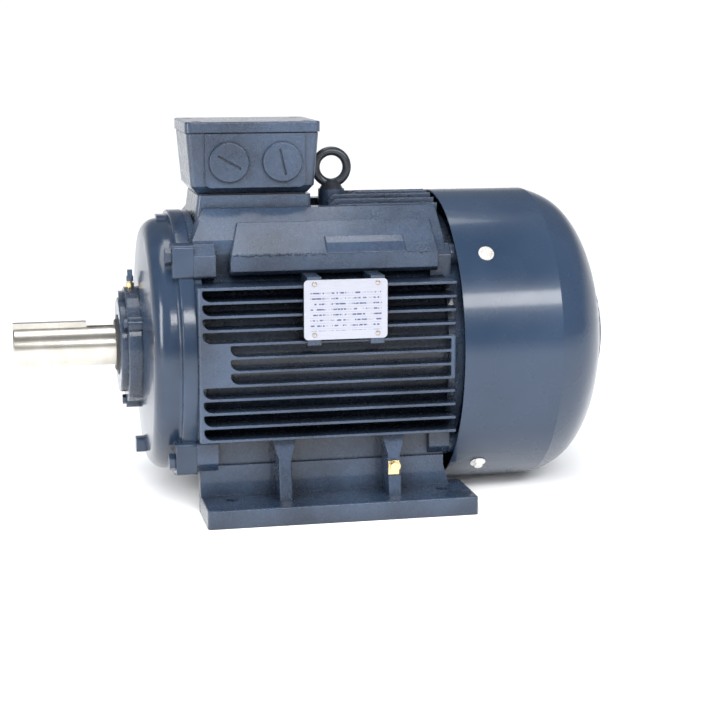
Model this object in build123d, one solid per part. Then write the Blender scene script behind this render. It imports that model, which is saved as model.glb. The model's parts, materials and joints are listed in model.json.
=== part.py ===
"""Foot-mounted, totally enclosed, fan-cooled three-phase induction motor in a 365T frame.

The shaft axis lies along X, at shaft height above the feet.  The shaft extension points to -X,
the fan cover to +X, and the cable entries face -Y.  The origin is on the base plane, at the centre
of the four foot holes.  All dimensions are in millimetres.
"""
import os
from math import asin, cos, radians, sin

from build123d import *

# ---- frame standard (365T) -----------------------------------------------------------------
SHAFT_HEIGHT = 228.6          # D, base plane to shaft axis
FOOT_HOLES_X = 311.15         # 2F
FOOT_HOLES_Y = 355.6          # 2E
FOOT_HOLE_R = 8.35            # H / 2
SHOULDER_TO_HOLE = 149.25     # BA
SHAFT_R = 30.16               # U / 2
SHAFT_LENGTH = 149.2          # N-W
KEY_WIDTH = 15.875            # S
KEY_LENGTH = 108.0            # ES
KEYSEAT_TO_BACK = 51.33       # R, keyseat floor to the opposite side of the shaft

SHOULDER_X = -(FOOT_HOLES_X / 2 + SHOULDER_TO_HOLE)
SHAFT_TIP_X = SHOULDER_X - SHAFT_LENGTH

# ---- cast frame ----------------------------------------------------------------------------
FRAME_X0 = -203.0             # drive-end joint face
FRAME_X1 = 172.0              # fan-end joint face
BARREL_R = 186.0
BORE_R = 172.5
FLANGE_R = 199.0
FLANGE_WIDTH = 11.0
REGISTER_R = 180.0            # spigot register for the end shields
REGISTER_DEPTH = 7.0
FIN_COUNT = 12
FIN_PITCH = 19.7
FIN_THICK = 4.2
FIN_TIP_Y = 207.0
FIN_GAP_R = 2.5               # small corners of the gaps between side fins
FIN_RUNOUT_R = 12.5           # where each fin runs out into the drive-end pad, on its upper face
SHORT_GAP_X0 = -158.0         # the three middle gaps start further in
SHORT_GAP_X1 = 161.0
TOP_FIN_TOPS = {10.5: 452.0, 31.5: 450.0, 52.5: 445.0, 73.0: 439.0}
LUG_X = 31.0                  # length of a bolt lug on the frame
BOLT_CIRCLE_R = 210.0         # drive-end shield bolts
FAN_BOLT_CIRCLE_R = 199.0     # fan-end shield bolts
FOOT_HALF_LENGTH = 197.0
FOOT_OUTER_Y = 233.0
FOOT_INNER_Y = 128.0
FOOT_THICK = 27.0
WEB_OUTER_Y = 153.0
GUSSET_X = 80.0
GUSSET_THICK = 19.0

# ---- terminal box --------------------------------------------------------------------------
BOX_X0, BOX_X1 = -200.0, -6.0
BOX_HALF_Y = 75.0
BOX_Z0, BOX_TAPER_Z, BOX_Z1 = 457.0, 468.0, 544.0
BOX_WALL = 7.0
LID_Z1 = 561.0
NECK_TOP_Z = 455.0
PLUG_X = (-139.5, -61.5)
PLUG_Z = 503.0
PLUG_HEAD_R = 29.0
PLUG_THREAD_R = 25.0
PANEL_Y = 78.0

# ---- fan cover -----------------------------------------------------------------------------
COVER_X0 = 177.5
COVER_R = 223.0
COVER_WALL = 2.0
COVER_SEAM_X = 325.0
COVER_END_X = 442.3
COVER_DOME = ((345.0, 216.0, 22.0), (365.0, 205.5, 36.0), (385.0, 186.0, 53.0),
              (405.0, 150.5, 65.5), (420.0, 110.0, 73.0))    # x, radius, slope in degrees
COVER_SEAM_SLOPE = 17.0       # slope of the dome where it leaves the straight part
COVER_SCREW_X = 221.0
COVER_SCREW_ANGLES = (40.0, 140.0, 231.0, -51.0)

# ---- running gear --------------------------------------------------------------------------
BEARING_BORE_R = 32.5         # 65 x 140 x 33 deep-groove ball bearing
BEARING_OUTER_R = 70.0
BEARING_WIDTH = 33.0
BALL_R = 12.22
GROOVE_R = 12.30
BALL_PITCH_R = 51.25
BALL_COUNT = 8
DRIVE_BEARING_X = -240.5
FAN_BEARING_X = 222.5
CORE_HALF_LENGTH = 120.0
STATOR_BORE_R = 105.2
ROTOR_R = 104.4
CORE_SEAT_R = 45.0
STATOR_SLOTS = 48
ROTOR_BARS = 40
CAP_BOLT_R = 84.0
CAP_BOLT_ANGLES = (-90.0, 30.0, 150.0)
HUB_R = 97.0
DOME_R = 187.5                # drive-end shield
DOME_SHOULDER_R = 24.5
DOME_WALL = 11.5
EYE_X = 26.0
EYE_SEAT_Z = 456.0

# ---- small parts -----------------------------------------------------------------------------
BOX_BOLT_X = (-165.5, -40.5)  # bolts through the terminal box floor
BOX_BOLT_Y = (-49.0, 49.0)
GROUND_Z = 69.0               # earth bolt on the second gusset
GROUND_FACE_Y = 194.0         # gusset face under the earth clamp
PLATE_X = (-55.0, 65.0)       # rating plate
PLATE_Z = (262.0, 347.0)
PLATE_RIVET_X = (-40.0, 51.0)
PLATE_RIVET_Z = (269.0, 341.0)
HUB_FACE_X = 270.0            # drive-end hub, distances from the middle
HUB_END_X = 218.0
FAN_HUB_X0 = 201.0            # fan-end hub
FAN_HUB_X1 = 252.0
FAN_KEY_X0, FAN_KEY_X1 = 278.0, 312.0  # key under the fan
FAN_CLIP_X = 322.5            # snap ring that holds the fan
FAN_HUB = (272.0, 321.0)      # fan hub ends
LID_SCREW_X = (-184.0, -22.0)  # lid screws
LID_SCREW_Y = (-58.0, 58.0)
STUD_X = (-126.0, -102.0, -78.0)  # terminal studs
STUD_Y = (-20.0, 20.0)
BOARD_Z0, BOARD_Z1 = 476.0, 488.0  # terminal board
LEAD_X = -150.5               # where the winding leads rise
LEAD_Z = 505.0

H = SHAFT_HEIGHT
AXLE = Pos(0, 0, H)
os.makedirs("parts", exist_ok=True)


# ---- helpers -------------------------------------------------------------------------------
def block(x0, x1, y0, y1, z0, z1):
    """Box between two corners."""
    return Pos((x0 + x1) / 2, (y0 + y1) / 2, (z0 + z1) / 2) * Box(x1 - x0, y1 - y0, z1 - z0)


def rod(start, end, radius):
    """Cylinder from one point to another."""
    line = Vector(*end) - Vector(*start)
    plane = Plane(origin=start, z_dir=line)
    return extrude(plane * Circle(radius), line.length)


def ring(x0, x1, r_out, r_in=0.0):
    """Cylinder or tube on the shaft axis."""
    section = Circle(r_out) - Circle(r_in) if r_in else Circle(r_out)
    return AXLE * (Plane.YZ.offset(x0) * Pos(0, 0, 0) * extrude(section, x1 - x0))


def turned(points):
    """Solid of revolution about the shaft axis, from (x, r) points."""
    outline = Polyline(*[(x, 0, r) for x, r in points], close=True)
    return AXLE * revolve(make_face(outline), Axis.X)


def prism_x(points, x0, x1):
    """Outline of (y, z) points, extruded from x0 to x1."""
    face = make_face(Polyline(*[(x0, y, z) for y, z in points], close=True))
    return extrude(face, x1 - x0, dir=(1, 0, 0))


def prism_y(points, y0, y1):
    """Outline of (x, z) points, extruded from y0 to y1."""
    face = make_face(Polyline(*[(x, y0, z) for x, z in points], close=True))
    return extrude(face, y1 - y0, dir=(0, 1, 0))


def both_sides(shape):
    """A shape and its mirror image across the plane that holds the shaft axis."""
    return [shape, mirror(shape, about=Plane.XZ)]


def polar(shape, angles):
    """Copies of a shape that lies along +Z of the shaft axis, turned about the axis.

    The angle is measured in the YZ plane from -Y towards +Z.
    """
    return [AXLE * Rot(X=90 - angle) * shape for angle in angles]


def on_circle(radius, angle):
    """(y, z) of a point on a circle about the shaft axis, angle from -Y towards +Z."""
    return -radius * cos(radians(angle)), H + radius * sin(radians(angle))


def joined(shapes):
    """One solid fused from a list of shapes."""
    return shapes[0] + shapes[1:]


def hex_bolt(flats, head, shank_r, shank, socket=False):
    """Bolt with its head on +Z, its seat at Z = 0 and its shank down along -Z."""
    outline = RegularPolygon(flats / 2, 6, major_radius=False)
    body = extrude(outline, head)
    if socket:
        body = Pos(0, 0, head / 2) * Cylinder(flats / 2, head)
        body -= Pos(0, 0, head) * Cylinder(flats * 0.25, head)
    else:
        dome = Pos(0, 0, head - flats * 0.95) * Sphere(flats * 1.09)
        body = body & dome
    return body + Pos(0, 0, -shank / 2) * Cylinder(shank_r, shank)


def along(x, y, z, direction):
    """Location at a point whose +Z axis is turned to a direction."""
    return Plane(origin=(x, y, z), z_dir=direction).location


def save(name, shape):
    """Write one node, as a single solid or as a group of separate solids."""
    solids = shape if isinstance(shape, list) else [shape]
    bodies = [solid for item in solids for solid in item.solids()]
    group = bodies[0] if len(bodies) == 1 else Compound(children=bodies)
    group.label = name
    export_step(group, os.path.join("parts", name + ".step"))


# ---- cast frame ----------------------------------------------------------------------------
def side_fins():
    """Horizontal fins on the -Y side: a slab with gaps cut between the fins."""
    half = FIN_PITCH * (FIN_COUNT - 1) / 2 + FIN_THICK / 2
    slab = block(FRAME_X0, FRAME_X1 - 2, -FIN_TIP_Y, -120, H - half, H + half)
    slab = fillet(slab.edges().filter_by(Axis.Z).group_by(Axis.Y)[0], 5.0)
    gap_height = FIN_PITCH - FIN_THICK
    gaps = []
    for index in range(FIN_COUNT - 1):
        offset = index - (FIN_COUNT - 2) / 2
        short = abs(offset) < 1.5
        x0 = SHORT_GAP_X0 if short else FRAME_X0 + 6
        x1 = SHORT_GAP_X1 if short else FRAME_X1 + 20
        section = Rectangle(x1 - x0, gap_height)
        corners = section.vertices().sort_by(Axis.X)
        runout = corners[:2].sort_by(Axis.Y)[-1]
        section = fillet(runout, FIN_RUNOUT_R)
        sharp = section.vertices().sort_by(Axis.X)
        section = fillet([sharp[0], *sharp[-2:]], FIN_GAP_R)
        plane = Plane(origin=((x0 + x1) / 2, -FIN_TIP_Y, H + offset * FIN_PITCH),
                      x_dir=(1, 0, 0), z_dir=(0, 1, 0))
        gaps.append(extrude(plane * section, 62, taper=1.2))
    slab -= gaps
    tips = [edge for edge in slab.edges() if abs(edge.center().Y + FIN_TIP_Y) < 0.01]
    return fillet(tips, 1.2)


def top_fins():
    """Upright fins along the top, behind the eyebolt."""
    fins = []
    for y, top in TOP_FIN_TOPS.items():
        x0 = EYE_X + 26 if y < 20 else EYE_X - 12
        fin = block(x0, FRAME_X1, y - FIN_THICK / 2, y + FIN_THICK / 2, H + 150, top)
        fin = fillet(fin.edges().filter_by(Axis.Y).group_by(Axis.Z)[-1].sort_by(Axis.X)[0], 12)
        crest = [edge for edge in fin.edges() if edge.center().Z > top - 4 and edge.length > 5]
        fin = fillet([edge for edge in crest if abs(edge.center().Y - y) > 1], 1.2)
        fins += both_sides(fin)
    return fins


def inclined_pad():
    """Sloping casting below the terminal box: base, raised face and the step on its lower edge."""
    base = prism_x([(-60, 437), (-86, 437), (-137, 397), (-150, 380), (-140, 340), (-60, 380)],
                   FRAME_X0 + 2, 165)
    base -= prism_y([(-260, 460), (-176, 440), (-202, 396), (-202, 300), (-260, 300)], -200, 0)
    base = fillet(base.edges().filter_by(Axis.X).group_by(Axis.Y)[1], 3)
    face = prism_x([(-110, 405), (-116, 421), (-171, 379), (-172, 356), (-166, 350), (-110, 350)],
                   -152, 150)
    face -= prism_y([(-260, 440), (-128, 440), (-134, 421), (-150, 381), (-156, 340), (-260, 340)],
                    -200, 0)
    outer = [edge for edge in face.edges() if edge.center().Y < -115]
    face = fillet(outer, 2.0)
    step = prism_x([(-140, 396), (-146, 401), (-161, 393), (-172, 379), (-160, 370)], -13, 102)
    step = fillet([edge for edge in step.edges() if edge.center().Y < -145], 1.5)
    return [base, face, step]


def frame_lug(x0, x1, radius, upper):
    """Bolt lug at a corner of the frame on the -Y side, with a bevelled outer corner."""
    y, z = on_circle(radius, 45)
    reach = z - H
    outline = [(y - 18, reach - 30), (y - 18, reach + 2), (y - 2, reach + 17), (-110, reach + 17),
               (-100, reach - 40)]
    sign = 1 if upper else -1
    lug = prism_x([(a, H + sign * b) for a, b in outline], x0, x1)
    return fillet([edge for edge in lug.edges().filter_by(Axis.X) if edge.center().Y < -130], 4)


def feet():
    """Foot, web and gussets on the -Y side."""
    foot = block(-FOOT_HALF_LENGTH, FOOT_HALF_LENGTH, -FOOT_OUTER_Y, -FOOT_INNER_Y, 0, FOOT_THICK)
    foot = fillet(foot.edges().filter_by(Axis.Z).group_by(Axis.Y)[0], 5)
    foot = fillet(foot.edges().group_by(Axis.Z)[-1].sort_by(Axis.Y)[:3], 3)
    web = prism_y([(-FOOT_HALF_LENGTH, 20), (FOOT_HALF_LENGTH - 22, 20), (FRAME_X1 - 8, 58),
                   (FRAME_X1 - 8, 126), (FRAME_X0 + 3, 126)], -WEB_OUTER_Y, -WEB_OUTER_Y + 20)
    web -= block(-170, FRAME_X1, -WEB_OUTER_Y - 1, -WEB_OUTER_Y + 6, 72, 140)
    parts = [foot, web]
    half = GUSSET_THICK / 2
    for x in (-GUSSET_X, GUSSET_X):
        rib = prism_y([(x - half, 20), (x + half, 20), (x + half, 88), (x + half + 8, 116),
                       (x - half - 8, 116), (x - half, 88)], -204, -140)
        rib -= prism_x([(-204, 20), (-204, 27), (-188, 118), (-220, 118), (-220, 20)],
                       x - 30, x + 30)
        front = [edge for edge in rib.edges() if edge.center().Y < -189 and edge.length > 30]
        parts.append(fillet(front, 3))
    return parts


def terminal_neck():
    """Turret between the barrel and the terminal box."""
    neck = prism_y([(-184, NECK_TOP_Z), (-18, NECK_TOP_Z), (-13, 380), (-195, 380)], -70, 70)
    return fillet([edge for edge in neck.edges() if abs(edge.tangent_at(0.5).Z) > 0.9], 7)


def make_frame():
    """Whole stator frame casting."""
    solids = [ring(FRAME_X0, FRAME_X1, BARREL_R), ring(FRAME_X0, FRAME_X0 + FLANGE_WIDTH, FLANGE_R),
              ring(FRAME_X1 - FLANGE_WIDTH, FRAME_X1, FLANGE_R - 4), terminal_neck()]
    near = [side_fins()] + inclined_pad() + feet()
    for upper in (True, False):
        near.append(frame_lug(FRAME_X0, FRAME_X0 + LUG_X, BOLT_CIRCLE_R, upper))
        near.append(frame_lug(FRAME_X1 - LUG_X, FRAME_X1, FAN_BOLT_CIRCLE_R, upper))
    plate_boss = block(-50, -30, -212, -150, 254, 351) + block(41, 61, -212, -150, 254, 351)
    near.append(plate_boss)
    for shape in near:
        solids += both_sides(shape)
    solids += top_fins()
    solids.append(rod((EYE_X, 0, H + 170), (EYE_X, 0, EYE_SEAT_Z), 20))
    solids += [rod((x, 0, 38), (x, 0, 60), 13) for x in (-150, 130)]
    frame = joined(solids)

    cuts = [ring(FRAME_X0 - 1, FRAME_X1 + 1, BORE_R)]
    cuts.append(ring(FRAME_X0 - 1, FRAME_X0 + REGISTER_DEPTH, REGISTER_R))
    cuts.append(ring(FRAME_X1 - REGISTER_DEPTH, FRAME_X1 + 1, REGISTER_R))
    cuts.append(block(-155, -50, -42, 42, 380, 460))
    cuts.append(rod((EYE_X, 0, EYE_SEAT_Z - 34), (EYE_X, 0, EYE_SEAT_Z + 1), 7.0))
    for x in (-FOOT_HOLES_X / 2, FOOT_HOLES_X / 2):
        for y in (-FOOT_HOLES_Y / 2, FOOT_HOLES_Y / 2):
            cuts.append(rod((x, y, -1), (x, y, FOOT_THICK + 1), FOOT_HOLE_R))
    for angle in (45, 135, 225, -45):
        y, z = on_circle(BOLT_CIRCLE_R, angle)
        cuts.append(rod((FRAME_X0 - 1, y, z), (FRAME_X0 + 27, y, z), 7.0))
        y, z = on_circle(FAN_BOLT_CIRCLE_R, angle)
        cuts.append(rod((FRAME_X1 + 1, y, z), (FRAME_X1 - 27, y, z), 6.0))
    cuts += [rod((x, 0, 30), (x, 0, 70), 6.0) for x in (-150, 130)]
    for x in BOX_BOLT_X:
        for y in BOX_BOLT_Y:
            cuts.append(rod((x, y, NECK_TOP_Z - 18), (x, y, NECK_TOP_Z + 1), 4.0))
    cuts.append(rod((GUSSET_X, -215, GROUND_Z), (GUSSET_X, -170, GROUND_Z), 4.0))
    cuts.append(block(GUSSET_X - 14, GUSSET_X + 14, -220, -GROUND_FACE_Y, GROUND_Z - 13, GROUND_Z + 11))
    for x in PLATE_RIVET_X:
        for z in PLATE_RIVET_Z:
            cuts.append(rod((x, -213, z), (x, -200, z), 1.6))
    return frame - cuts


# ---- end shields and bearing caps ----------------------------------------------------------
def cap_bolt_holes(x0, x1, radius):
    """Cutters for the bearing-cap bolts."""
    holes = []
    for angle in CAP_BOLT_ANGLES:
        y, z = on_circle(CAP_BOLT_R, angle)
        holes.append(rod((x0, y, z), (x1, y, z), radius))
    return holes


def make_drive_shield():
    """Domed drive-end shield with its bearing housing and four bolt lugs."""
    diagonal = DOME_SHOULDER_R * cos(radians(45))
    inner_r = DOME_SHOULDER_R - DOME_WALL
    inner_diagonal = inner_r * cos(radians(45))
    centre_x, centre_r = -238.0, DOME_R - DOME_SHOULDER_R
    outline = Polyline((-197, 0, 174), (-197, 0, 179.9), (-203, 0, 179.9), (-203, 0, 200), (-221, 0, 200))
    outline += ThreePointArc((-221, 0, 200), (-223.12, 0, 199.12), (-224, 0, 197))
    outline += Line((-224, 0, 197), (-224, 0, DOME_R + 5))
    outline += ThreePointArc((-224, 0, DOME_R + 5), (-225.46, 0, DOME_R + 1.46), (-229, 0, DOME_R))
    outline += Line((-229, 0, DOME_R), (centre_x, 0, DOME_R))
    outline += ThreePointArc((centre_x, 0, DOME_R), (centre_x - diagonal, 0, centre_r + diagonal),
                             (centre_x - DOME_SHOULDER_R, 0, centre_r))
    outline += Polyline((centre_x - DOME_SHOULDER_R, 0, centre_r), (-HUB_FACE_X, 0, HUB_R + 4),
                        (-HUB_FACE_X, 0, BEARING_OUTER_R), (-HUB_END_X, 0, BEARING_OUTER_R),
                        (-HUB_END_X, 0, HUB_R), (-HUB_FACE_X + 13, 0, HUB_R),
                        (centre_x - inner_r, 0, centre_r))
    outline += ThreePointArc((centre_x - inner_r, 0, centre_r),
                             (centre_x - inner_diagonal, 0, centre_r + inner_diagonal),
                             (centre_x, 0, centre_r + inner_r))
    outline += Line((centre_x, 0, centre_r + inner_r), (-197, 0, 174))
    shield = AXLE * revolve(make_face(outline), Axis.X)
    lugs = []
    cuts = cap_bolt_holes(-280, -200, 4.6)
    for angle in (45, 135, 225, -45):
        y, z = on_circle(BOLT_CIRCLE_R, angle)
        side = 1 if y > 0 else -1
        up = 1 if z > H else -1
        y_ends = sorted((y - side * 26, y + side * 18))
        z_ends = sorted((z - up * 30, z + up * 17))
        lug = block(-233, FRAME_X0, *y_ends, *z_ends)
        lug = fillet(lug.edges().filter_by(Axis.X), 5)
        lugs.append(fillet(lug.edges().group_by(Axis.X)[0], 2.5))
        cuts.append(rod((-240, y, z), (-200, y, z), 8.6))
    top_boss = prism_x([(-14, H + 183), (14, H + 183), (12, H + 193.5), (-12, H + 193.5)], -240, -222)
    jack_boss = block(-277, -258, -11, 11, H - 165, H - 143)
    jack_boss = fillet(jack_boss.edges().filter_by(Axis.X), 4)
    shield = joined([shield, top_boss, jack_boss] + lugs)
    return shield - cuts - [ring(-221, -190, REGISTER_R - 6)]


def make_fan_shield():
    """Fan-end shield with arms that carry the fan cover."""
    shield = turned([(FRAME_X1 - 6, 174), (FRAME_X1 - 6, 179.9), (FRAME_X1, 179.9), (FRAME_X1, 195),
                     (FRAME_X1 + 12, 195), (FRAME_X1 + 16, 190), (214, 168), (230, 130),
                     (236, HUB_R + 6), (242, HUB_R), (FAN_HUB_X1, HUB_R),
                     (FAN_HUB_X1, BEARING_OUTER_R), (FAN_HUB_X0, BEARING_OUTER_R),
                     (FAN_HUB_X0, HUB_R), (222, HUB_R + 3), (218, 126), (204, 160),
                     (FRAME_X1 + 12, 174)])
    parts = [shield]
    cuts = cap_bolt_holes(190, 260, 4.6)
    for angle in (45, 135, 225, -45):
        y, z = on_circle(FAN_BOLT_CIRCLE_R, angle)
        parts.append(rod((FRAME_X1, y, z), (FRAME_X1 + 22, y, z), 16))
        cuts.append(rod((FRAME_X1 - 5, y, z), (FRAME_X1 + 40, y, z), 7.1))
    arm = block(COVER_SCREW_X - 15, COVER_SCREW_X + 15, -7, 7, 150, COVER_R - COVER_WALL - 6)
    pad = block(COVER_SCREW_X - 13, COVER_SCREW_X + 13, -13, 13, 196, COVER_R - COVER_WALL - 0.8)
    pad = fillet(pad.edges().filter_by(Axis.Z), 6)
    parts += polar(arm + pad, COVER_SCREW_ANGLES)
    hole = rod((COVER_SCREW_X, 0, 196), (COVER_SCREW_X, 0, COVER_R), 4.0)
    cuts += polar(hole, COVER_SCREW_ANGLES)
    return joined(parts) - cuts


def cap_lobes(x0, x1):
    """Rounded lobes around the cap bolts."""
    lobes = []
    for angle in CAP_BOLT_ANGLES:
        y, z = on_circle(CAP_BOLT_R, angle)
        lobes.append(rod((x0, y, z), (x1, y, z), 12.5))
    return lobes


def make_drive_outer_cap():
    """Outer bearing cap with its seal boss, grease chamber and nipple boss."""
    cap = turned([(-300, 33.3), (-300, 69), (-298, 71), (-290, 71), (-290, 84), (-288.5, 86),
                  (-HUB_FACE_X, 86), (-HUB_FACE_X, 69.9), (-257.3, 69.9), (-257.3, 60),
                  (-286, 56), (-286, 33.3)])
    boss = block(-290, -264, -11, 11, H + 70, H + 86)
    boss = fillet(boss.edges().filter_by(Axis.X).group_by(Axis.Z)[-1], 3)
    boss -= block(-HUB_FACE_X, -260, -20, 20, H + 60, H + 90)
    web = block(-298, -289, -9, 9, H + 66, H + 80)
    cap = joined([cap, boss, web] + cap_lobes(-290, -HUB_FACE_X))
    cuts = cap_bolt_holes(-300, -260, 4.6)
    cuts.append(rod((-280, 0, H + 50), (-280, 0, H + 90), 4.0))
    return cap - cuts


def make_drive_inner_cap():
    """Inner bearing cap, clamped by the same bolts."""
    cap = turned([(-223.2, 41.2), (-223.2, 69.9), (-HUB_END_X, 69.9), (-HUB_END_X, 95),
                  (-209, 95), (-207, 92), (-207, 41.2)])
    return cap - cap_bolt_holes(-230, -205, 4.0)


def make_fan_outer_cap():
    """Fan-end outer bearing cap."""
    cap = turned([(243.4, 58), (243.4, 69.9), (FAN_HUB_X1, 69.9), (FAN_HUB_X1, 88), (259, 88),
                  (260, 87), (260, 73), (264, 60), (266, 56), (266, 28.3), (259, 28.3), (256, 56)])
    return joined([cap] + cap_lobes(FAN_HUB_X1, 260)) - cap_bolt_holes(240, 270, 4.6)


def make_fan_inner_cap():
    """Fan-end inner bearing cap."""
    cap = turned([(191, 41.2), (191, 92), (193, 95), (FAN_HUB_X0, 95), (FAN_HUB_X0, 69.9),
                  (205.2, 69.9), (205.2, 41.2)])
    return cap - cap_bolt_holes(185, 210, 4.0)


def cap_bolts(seat_x, direction, length):
    """Hexagon bolts through a pair of bearing caps."""
    bolts = []
    for angle in CAP_BOLT_ANGLES:
        y, z = on_circle(CAP_BOLT_R, angle)
        bolts.append(along(seat_x, y, z, (direction, 0, 0)) * hex_bolt(13, 5.5, 4.0, length))
    return bolts


def shield_bolts(seat_x, direction, radius, flats, shank_r, length):
    """Hexagon bolts that hold an end shield to the frame."""
    bolts = []
    for angle in (45, 135, 225, -45):
        y, z = on_circle(radius, angle)
        bolt = hex_bolt(flats, flats * 0.42, shank_r, length)
        bolts.append(along(seat_x, y, z, (direction, 0, 0)) * bolt)
    return bolts


# ---- bearings and seals --------------------------------------------------------------------
def groove():
    """Torus swept by the ball groove of a race centred on X = 0."""
    circle = Plane.XZ * Pos(0, BALL_PITCH_R) * Circle(GROOVE_R)
    return AXLE * revolve(circle, Axis.X)


def make_inner_race(x):
    """Inner race of a ball bearing."""
    half = BEARING_WIDTH / 2
    return Pos(x, 0, 0) * (ring(-half, half, 44.0, BEARING_BORE_R) - groove())


def make_outer_race(x):
    """Outer race of a ball bearing."""
    half = BEARING_WIDTH / 2
    return Pos(x, 0, 0) * (ring(-half, half, BEARING_OUTER_R - 0.02, 58.5) - groove())


def ball_ring(x, radius):
    """Spheres at the ball positions."""
    step = 360 / BALL_COUNT
    return [Pos(x, 0, 0) * AXLE * Rot(X=step * i) * Pos(0, 0, BALL_PITCH_R) * Sphere(radius)
            for i in range(BALL_COUNT)]


def make_ball_cage(x):
    """Ball cage: a sleeve with a pocket for each ball."""
    return Pos(x, 0, 0) * ring(-14.6, 14.6, 54.2, 48.2) - ball_ring(x, BALL_R + 0.3)


def make_preload_spring():
    """Disc spring that presses the fan-end outer race."""
    x0 = FAN_BEARING_X + BEARING_WIDTH / 2 + 0.1
    x1 = x0 + 2.6
    return turned([(x0, 69.5), (x0 + 1.2, 69.5), (x1 + 1.2, 61), (x1, 61)])


def make_v_ring(x0, x1, bore, outer):
    """Rubber seal ring that turns with the shaft, lip towards x0."""
    lip = x0 + (x1 - x0) * 0.35
    return turned([(x0, outer - 3), (x0, outer), (lip + 0.6, outer - 1), (lip + 0.6, bore + 7),
                   (x1, bore + 6), (x1, bore), (lip - 0.6, bore), (lip - 0.6, bore + 5)])


# ---- rotor ---------------------------------------------------------------------------------
def make_shaft():
    """Stepped shaft with an open keyway at the drive end and a fan keyway at the other."""
    steps = [(SHAFT_TIP_X + 2, SHAFT_R), (SHOULDER_X, SHAFT_R), (SHOULDER_X, 31.5), (-262, 31.5),
             (-260, BEARING_BORE_R), (-224, BEARING_BORE_R), (-224, 40), (-CORE_HALF_LENGTH, 40),
             (-CORE_HALF_LENGTH, CORE_SEAT_R), (CORE_HALF_LENGTH + 4, CORE_SEAT_R),
             (CORE_HALF_LENGTH + 4, 40), (206, 40), (206, BEARING_BORE_R), (244, BEARING_BORE_R),
             (244, 27.5), (326, 27.5), (328, 25.5)]
    outline = [(SHAFT_TIP_X, 0), (SHAFT_TIP_X, SHAFT_R - 2)] + steps + [(328, 0)]
    shaft = turned(outline)
    floor = H - SHAFT_R + KEYSEAT_TO_BACK
    half = KEY_WIDTH / 2
    keyway = block(SHAFT_TIP_X - 1, SHOULDER_X - 16, -half, half, floor, H + 50)
    run_out = block(SHOULDER_X - 16, SHOULDER_X - 2, -half, half, floor + 3, H + SHAFT_R + 0.5)
    fan_way = block(FAN_KEY_X0, FAN_KEY_X1, -4, 4, H + 23.5, H + 40)
    snap = ring(FAN_CLIP_X - 1.1, FAN_CLIP_X + 1.1, 40, 25.6)
    centre = rod((SHAFT_TIP_X - 1, 0, H), (SHAFT_TIP_X + 26, 0, H), 7.0)
    return shaft - [keyway, run_out, fan_way, snap, centre]


def make_shaft_key():
    """Square key, flush with the end of the shaft."""
    floor = H - SHAFT_R + KEYSEAT_TO_BACK
    key = block(SHAFT_TIP_X, SHAFT_TIP_X + KEY_LENGTH, -KEY_WIDTH / 2, KEY_WIDTH / 2, floor,
                floor + KEY_WIDTH)
    return chamfer(key.edges().group_by(Axis.Z)[-1], 0.6)


def make_rotor_core():
    """Laminated rotor core with holes for the cage bars."""
    section = Circle(ROTOR_R) - Circle(CORE_SEAT_R)
    section -= PolarLocations(ROTOR_R - 8, ROTOR_BARS) * Circle(3.6)
    return AXLE * (Plane.YZ.offset(-CORE_HALF_LENGTH) * extrude(section, 2 * CORE_HALF_LENGTH))


def make_rotor_cage():
    """Cast cage: bars through the core, end rings and their stirring vanes."""
    bars = Sketch() + PolarLocations(ROTOR_R - 8, ROTOR_BARS) * Circle(3.5)
    solids = [AXLE * (Plane.YZ.offset(-CORE_HALF_LENGTH - 1) * extrude(bars, 2 * CORE_HALF_LENGTH + 2))]
    for side in (-1, 1):
        near, far = side * CORE_HALF_LENGTH, side * (CORE_HALF_LENGTH + 20)
        solids.append(ring(min(near, far), max(near, far), ROTOR_R - 1, 74))
        tip = far + side * 22
        vane = block(min(far, tip) - 1, max(far, tip) + 1, -2.5, 2.5, 80, 98)
        solids += polar(vane, [45 * i for i in range(8)])
    return joined(solids)


def make_fan():
    """Radial fan: hub, back plate and straight blades that push air in either direction."""
    hub = turned([(FAN_HUB[0], 27.5), (FAN_HUB[0], 40), (284, 46), (292, 46), (FAN_HUB[1], 38),
                  (FAN_HUB[1], 27.5)])
    plate = turned([(284, 40), (284, 188), (288, 188), (290, 60), (292, 40)])
    blade = prism_y([(286, 42), (286, 194), (322, 190), (334, 120), (318, 42)], -2.2, 2.2)
    blades = polar(blade, [30 * i for i in range(12)])
    return joined([hub, plate] + blades) - block(FAN_KEY_X0, FAN_KEY_X1, -4, 4, H + 20, H + 30.5)


# ---- stator --------------------------------------------------------------------------------
def slot_shape(width, r0, r1):
    """Radial slots all round, as a sketch."""
    return Sketch() + PolarLocations((r0 + r1) / 2, STATOR_SLOTS) * Rectangle(r1 - r0, width)


def make_stator_core():
    """Laminated stator core with open slots."""
    section = Circle(BORE_R - 0.1) - Circle(STATOR_BORE_R)
    section -= slot_shape(7.0, STATOR_BORE_R + 3, STATOR_BORE_R + 31)
    section -= slot_shape(2.6, STATOR_BORE_R - 1, STATOR_BORE_R + 4)
    return AXLE * (Plane.YZ.offset(-CORE_HALF_LENGTH) * extrude(section, 2 * CORE_HALF_LENGTH))


def make_winding():
    """Stator winding: coil sides in the slots and the bound end turns at both ends."""
    bars = slot_shape(6.6, STATOR_BORE_R + 4.2, STATOR_BORE_R + 30.6)
    reach = CORE_HALF_LENGTH + 8
    solids = [AXLE * (Plane.YZ.offset(-reach) * extrude(bars, 2 * reach))]
    for side in (-1, 1):
        x0 = side * (CORE_HALF_LENGTH + 6)
        x1 = side * (CORE_HALF_LENGTH + 56)
        turns = turned([(x0, 109), (x0, 142), (x0 + side * 18, 160), (x1 - side * 6, 162),
                        (x1, 156), (x1, 130), (x1 - side * 8, 122)])
        solids.append(turns)
    return joined(solids)


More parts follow.
